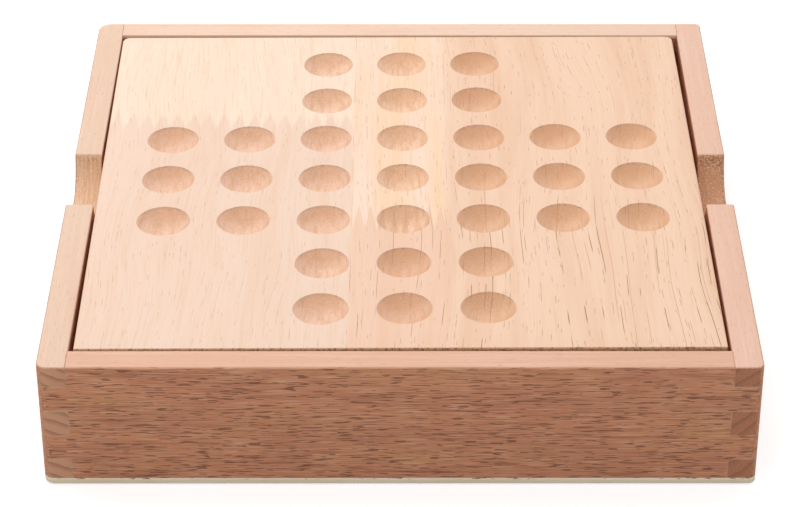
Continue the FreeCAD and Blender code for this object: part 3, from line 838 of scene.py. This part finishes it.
@dataclass
class PlayingBoard:
    """The lift-out board with its cross of hollows, as it lies in the box.

    Attributes:
        body: The body that it rides on.
        half_mm: Half of its width.
        back_corner_mm: Radius of its back corners.
        front_corner_mm: Radius of its front corners.
        edge_mm: Rounding of its edges.
        shift_mm: Its place off the middle of the box.
        turn: How far it lies turned, in radians.
        grid_shift_mm: The cross's place off the middle of the board.
        pitch_mm: Distance between hollows.
        column_rise_mm: How much further back each column is milled than the one on its left.
        rim_mm: Radius of a hollow at the surface.
        depth_mm: Depth of a hollow.
        lip_mm: Rounding of a hollow's rim.
        per_side: Points along each side of a hollow's square of board.
    """

    body: str = "playing_board"
    half_mm: float = 90.7
    back_corner_mm: float = 2.6
    front_corner_mm: float = 0.8
    edge_mm: float = 0.6
    shift_mm: tuple[float, float] = (-0.22, 0.33)
    turn: float = math.asin(0.473 / 90.7)
    grid_shift_mm: tuple[float, float] = (1.2, 0.58)
    pitch_mm: float = 23.75
    column_rise_mm: float = 0.24
    rim_mm: float = 7.95
    depth_mm: float = 5.0
    lip_mm: float = 0.25
    per_side: int = 12

    def make(self) -> None:
        """Build the board, put it in place and dress it."""
        low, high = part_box("playing_board")
        material = RubberwoodPanel().material()
        cross = self.cross(material)
        shape = bmesh.new()
        shape.from_mesh(cross)
        bpy.data.meshes.remove(cross)
        for vert in shape.verts:
            vert.co.y += (vert.co.x - self.grid_shift_mm[0]) / self.pitch_mm * self.column_rise_mm
        self.close_slab(shape, (high.z - low.z) / MM)
        mesh = bpy.data.meshes.new("playing_board_milled")
        place = (Matrix.Translation((self.shift_mm[0] * MM, self.shift_mm[1] * MM, high.z))
                 @ Matrix.Rotation(self.turn, 4, "Z") @ Matrix.Scale(MM, 4))
        bmesh.ops.transform(shape, matrix=place, verts=shape.verts)
        bmesh.ops.recalc_face_normals(shape, faces=shape.faces)
        shape.to_mesh(mesh)
        shape.free()
        mesh.materials.clear()
        mesh.materials.append(material)
        smooth_by_angle(mesh, 40)
        piece = link_mesh("playing_board_milled", mesh)
        settle(piece, self.body, ["playing_board"])

    def cross(self, material: bpy.types.Material) -> bpy.types.Mesh:
        """Repeat one hollow over the cross, in millimetres, with the surface at height zero."""
        tool = NodeTool("cross_of_hollows", {
            "Pitch": ("NodeSocketFloat", self.pitch_mm),
            "Holes across": ("NodeSocketInt", 7),
            "Shift": ("NodeSocketVector", (*self.grid_shift_mm, 0.0)),
            "Points per square": ("NodeSocketInt", self.per_side + 1),
        })
        pitch, count, shift, fine = (tool.start.outputs[name] for name in tool.values)
        span = tool.add("ShaderNodeMath", {0: pitch, 1: tool.add("ShaderNodeMath", {0: count, 1: 1.0},
                                                                 operation="SUBTRACT")}, operation="MULTIPLY")
        grid = tool.add("GeometryNodeMeshGrid", {"Size X": span, "Size Y": span, "Vertices X": count,
                                                 "Vertices Y": count})
        where = tool.add("ShaderNodeSeparateXYZ", {0: tool.add("GeometryNodeInputPosition")})
        arm = tool.add("ShaderNodeMath", {0: pitch, 1: 1.5}, operation="MULTIPLY")
        outside = [tool.add("ShaderNodeMath", {0: tool.add("ShaderNodeMath", {0: where.outputs[axis]},
                                                           operation="ABSOLUTE"), 1: arm},
                            operation="GREATER_THAN") for axis in (0, 1)]
        corner = tool.add("FunctionNodeBooleanMath", {0: outside[0], 1: outside[1]}, operation="AND")
        plain = tool.add("GeometryNodeMeshGrid", {"Size X": pitch, "Size Y": pitch, "Vertices X": fine,
                                                  "Vertices Y": fine})
        moved = tool.add("GeometryNodeSetPosition", {"Geometry": grid, "Offset": shift})
        hollows = tool.add("GeometryNodeInstanceOnPoints", {
            "Points": moved, "Selection": tool.add("FunctionNodeBooleanMath", {0: corner}, operation="NOT"),
            "Instance": tool.start.outputs["Geometry"]})
        flats = tool.add("GeometryNodeInstanceOnPoints", {"Points": moved, "Selection": corner, "Instance": plain})
        squares = tool.add("GeometryNodeJoinGeometry", {0: hollows})
        tool.tree.links.new(flats.outputs[0], squares.inputs[0])
        tool.close(squares, material, 0.002)
        return tool.apply(link_mesh("hollow_square", self.hollow_square()))

    def hollow_square(self) -> bpy.types.Mesh:
        """Build one square of board with its hollow, from the surface down."""
        shape = bmesh.new()
        milled = shape.verts.layers.float.new("milled")
        count = 4 * self.per_side
        half = self.pitch_mm / 2
        rings = []
        square = []
        for side in range(4):
            for step in range(self.per_side):
                along = -half + self.pitch_mm * step / self.per_side
                point = Matrix.Rotation(side * math.pi / 2, 3, "Z") @ Vector((half, along, 0.0))
                square.append(shape.verts.new(point))
        rings.append(square)
        start = -math.pi / 4
        for radius, height, cut in self.profile():
            ring = []
            for step in range(count):
                turn = start + 2 * math.pi * step / count
                vert = shape.verts.new((radius * math.cos(turn), radius * math.sin(turn), height))
                vert[milled] = cut
                ring.append(vert)
            rings.append(ring)
        for outer, inner in zip(rings, rings[1:]):
            for step in range(count):
                following = (step + 1) % count
                shape.faces.new((outer[step], outer[following], inner[following], inner[step]))
        bottom = shape.verts.new((0.0, 0.0, -self.depth_mm))
        bottom[milled] = 1.0
        for step in range(count):
            shape.faces.new((rings[-1][step], rings[-1][(step + 1) % count], bottom))
        mesh = bpy.data.meshes.new("hollow_square")
        shape.to_mesh(mesh)
        shape.free()
        return mesh

    def profile(self) -> list[tuple[float, float, float]]:
        """Give radius, height and how far milled, from the flat surface over the lip to near the bottom."""
        ball = (self.rim_mm ** 2 + self.depth_mm ** 2) / (2 * self.depth_mm)
        centre = ball - self.depth_mm
        lip_radius = math.sqrt((ball + self.lip_mm) ** 2 - (centre + self.lip_mm) ** 2)
        meet = math.atan2(lip_radius, centre + self.lip_mm)
        rows = []
        lip_steps, bowl_steps = 4, 11
        for step in range(lip_steps + 1):
            turn = meet * step / lip_steps
            rows.append((lip_radius - self.lip_mm * math.sin(turn),
                         -self.lip_mm + self.lip_mm * math.cos(turn), 0.5 * step / lip_steps))
        rows[0] = (lip_radius, 0.0, 0.0)
        for step in range(1, bowl_steps):
            turn = meet * (1 - step / bowl_steps)
            rows.append((ball * math.sin(turn), centre - ball * math.cos(turn), 1.0))
        return rows

    def outline(self, inset: float) -> list[tuple[float, float]]:
        """Give the board's outline, drawn in by an inset."""
        points = []
        steps = 10
        half = self.half_mm - inset
        corners = ((1, 1, self.back_corner_mm), (-1, 1, self.back_corner_mm),
                   (-1, -1, self.front_corner_mm), (1, -1, self.front_corner_mm))
        for number, (side, end, corner) in enumerate(corners):
            radius = max(corner - inset, 0.05)
            for step in range(steps + 1):
                turn = (number + step / steps) * math.pi / 2
                points.append((side * (half - radius) + radius * math.cos(turn),
                               end * (half - radius) + radius * math.sin(turn)))
        return points

    def close_slab(self, shape: bmesh.types.BMesh, thickness: float) -> None:
        """Fill the surface out to the edges, and add the sides and the underside.

        Args:
            shape: The cross of hollows, in millimetres.
            thickness: The board's thickness.
        """
        reach = 3.5 * self.pitch_mm
        square = [vert for vert in shape.verts if vert.is_boundary]
        rings = []
        levels = []
        steps = 3
        for step in range(steps + 1):
            turn = step / steps * math.pi / 2
            levels.append((self.edge_mm * (1 - math.sin(turn)), -self.edge_mm * (1 - math.cos(turn))))
        levels += [(inset, -thickness - height) for inset, height in reversed(levels)]
        for inset, height in levels:
            rings.append([shape.verts.new((x, y, height)) for x, y in self.outline(inset)])
        count = len(rings[0])
        for upper, lower in zip(rings, rings[1:]):
            for step in range(count):
                following = (step + 1) % count
                shape.faces.new((upper[step], lower[step], lower[following], upper[following]))
        shape.faces.new(list(reversed(rings[-1])))
        quarter = count // 4
        for side in range(4):
            facing = Vector((1.0, 0.0)) @ Matrix.Rotation(-side * math.pi / 2, 2)
            along = Vector((0.0, 1.0)) @ Matrix.Rotation(-side * math.pi / 2, 2)
            inner = [vert for vert in square
                     if (vert.co.xy - Vector(self.grid_shift_mm)) @ facing > reach - 1.0]
            inner.sort(key=lambda vert: -(vert.co.xy @ along))
            first = side * quarter - quarter // 2
            outer = [rings[0][(first + step) % count] for step in range(quarter + 1)]
            shape.faces.new(outer + inner)


@dataclass
class PlayingBalls:
    """The loose balls under the board.

    Attributes:
        body: The body that they ride on.
        diameter_mm: Their diameter.
        seed: Seed of their turns.
    """

    body: str = "playing_balls"
    diameter_mm: float = 16.0
    seed: int = 7

    def make(self) -> None:
        """Set a turned ball at the place of each ball node."""
        nodes = sorted(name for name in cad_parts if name.startswith("ball_"))
        centres = [sum(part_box(name), Vector()) / 2 for name in nodes]
        wood = TurnedBeech()
        tool = NodeTool("balls_at_their_places", {
            "Radius": ("NodeSocketFloat", self.diameter_mm / 2 * MM),
            "Seed": ("NodeSocketInt", self.seed),
        })
        radius, seed = (tool.start.outputs[name] for name in ("Radius", "Seed"))
        ball = tool.add("GeometryNodeMeshIcoSphere", {"Radius": radius, "Subdivisions": 4})
        ball = tool.add("GeometryNodeStoreNamedAttribute", {
            "Geometry": ball, "Name": wood.position_attribute, "Value": tool.add("GeometryNodeInputPosition")},
            data_type="FLOAT_VECTOR", domain="POINT")
        ball = tool.add("GeometryNodeSetShadeSmooth", {"Geometry": ball})
        turn = tool.add("FunctionNodeRandomValue", {"Max": (math.tau, math.tau, math.tau), "Seed": seed},
                        data_type="FLOAT_VECTOR")
        points = tool.add("GeometryNodeMeshToPoints", {"Mesh": tool.start.outputs["Geometry"]})
        copies = tool.add("GeometryNodeInstanceOnPoints", {
            "Points": points, "Instance": ball,
            "Rotation": tool.add("FunctionNodeEulerToRotation", {"Euler": turn})})
        copies = tool.add("GeometryNodeStoreNamedAttribute", {
            "Geometry": copies, "Name": wood.seed_attribute,
            "Value": tool.add("FunctionNodeRandomValue", {"Seed": seed}, data_type="FLOAT")},
            data_type="FLOAT", domain="INSTANCE")
        tool.close(copies, wood.material(), 0.002 * MM)
        places = bpy.data.meshes.new("ball_places")
        places.from_pydata(centres, [], [])
        piece = link_mesh("playing_balls_turned", tool.apply(link_mesh("ball_places", places)))
        settle(piece, self.body, nodes)


@dataclass
class Studio:
    """Plain floor, soft light and the camera.

    Attributes:
        camera_mm: The camera's place.
        camera_down: How far it looks down, in radians.
        camera_right: How far it looks to the right, in radians.
        lens_mm: Its focal length on a 36 mm sensor.
        ambient: Strength of the even light all round.
    """

    camera_mm: tuple[float, float, float] = (-0.23, -728.49, 480.67)
    camera_down: float = 0.57077
    camera_right: float = 0.0004
    lens_mm: float = 126.13
    ambient: float = 0.74

    def make(self) -> None:
        """Build the camera, the lamps, the world and the floor."""
        scene = bpy.context.scene
        scene.view_settings.view_transform = "Standard"
        data = bpy.data.cameras.new("camera")
        data.lens = self.lens_mm
        data.sensor_width = 36.0
        data.clip_start, data.clip_end = 0.01, 20.0
        camera = bpy.data.objects.new("camera", data)
        camera.location = Vector(self.camera_mm) * MM
        camera.rotation_euler = (math.pi / 2 - self.camera_down, 0.0, -self.camera_right)
        scene.collection.objects.link(camera)
        scene.camera = camera
        self.lamp("key_softbox", (-0.32, 0.4, 0.95), (1.0, 1.0), 4.7)
        self.lamp("front_fill", (-0.7, -1.2, 0.9), (1.2, 1.2), 1.9)
        self.world()
        self.floor()

    def lamp(self, name: str, place: Sequence[float], size: tuple[float, float], watts: float) -> None:
        """Hang a soft rectangular lamp that points at the middle of the box.

        Args:
            name: The lamp's name.
            place: Its place in metres.
            size: Its width and height in metres.
            watts: Its power.
        """
        data = bpy.data.lights.new(name, "AREA")
        data.shape = "RECTANGLE"
        data.size, data.size_y = size
        data.energy = watts
        lamp = bpy.data.objects.new(name, data)
        lamp.location = place
        lamp.rotation_euler = (-Vector(place)).to_track_quat("-Z", "Y").to_euler()
        bpy.context.scene.collection.objects.link(lamp)

    def seen_directly(self, tree: bpy.types.NodeTree) -> bpy.types.Node:
        """Give 1 for rays from the camera, in a gloss or through glass, and 0 for the rest."""
        path = add_node(tree, "ShaderNodeLightPath")
        seen = add_node(tree, "ShaderNodeMath", {0: path.outputs["Is Camera Ray"], 1: path.outputs["Is Glossy Ray"]},
                        operation="MAXIMUM")
        return add_node(tree, "ShaderNodeMath", {0: seen, 1: path.outputs["Is Transmission Ray"]},
                        operation="MAXIMUM")

    def world(self) -> None:
        """Light evenly all round, with a white backdrop."""
        world = bpy.data.worlds.new("studio")
        world.use_nodes = True
        world.node_tree.nodes.clear()
        tree = world.node_tree
        seen = self.seen_directly(tree)
        soft = add_node(tree, "ShaderNodeBackground", {"Color": (1.0, 1.0, 1.0, 1.0), "Strength": self.ambient})
        white = add_node(tree, "ShaderNodeBackground", {"Color": (1.0, 1.0, 1.0, 1.0), "Strength": 1.0})
        both = add_node(tree, "ShaderNodeMixShader", {0: seen, 1: soft, 2: white})
        add_node(tree, "ShaderNodeOutputWorld", {"Surface": both})
        bpy.context.scene.world = world

    def floor(self) -> None:
        """Lay a pale floor that reads white and keeps the box's shadow."""
        half = 6.0
        mesh = bpy.data.meshes.new("studio_floor")
        mesh.from_pydata([(-half, -half, 0), (half, -half, 0), (half, half, 0), (-half, half, 0)], [], [(0, 1, 2, 3)])
        material = bpy.data.materials.new("studio_paper_white")
        material.use_nodes = True
        tree = material.node_tree
        tree.nodes.clear()
        paper = add_node(tree, "ShaderNodeBsdfDiffuse", {"Color": linear("dcdcdc")})
        dull = add_node(tree, "ShaderNodeBsdfDiffuse", {"Color": linear("a8a8a8")})
        glow = add_node(tree, "ShaderNodeEmission", {"Color": (1.0, 1.0, 1.0, 1.0), "Strength": 0.55})
        lit = add_node(tree, "ShaderNodeAddShader", {0: paper, 1: glow})
        shown = add_node(tree, "ShaderNodeMixShader", {0: self.seen_directly(tree), 1: dull, 2: lit})
        add_node(tree, "ShaderNodeOutputMaterial", {"Surface": shown})
        floor = link_mesh("studio_floor", mesh)
        floor.location.z = -0.0002
        floor.data.materials.append(material)


def main() -> None:
    """Build the scene, piece by piece, and note its size."""
    logging.basicConfig(level=logging.INFO, format="%(name)s %(message)s")
    Studio().make()
    BoxShell().make()
    PlayingBoard().make()
    PlayingBalls().make()


if __name__ == "__main__":
    main()
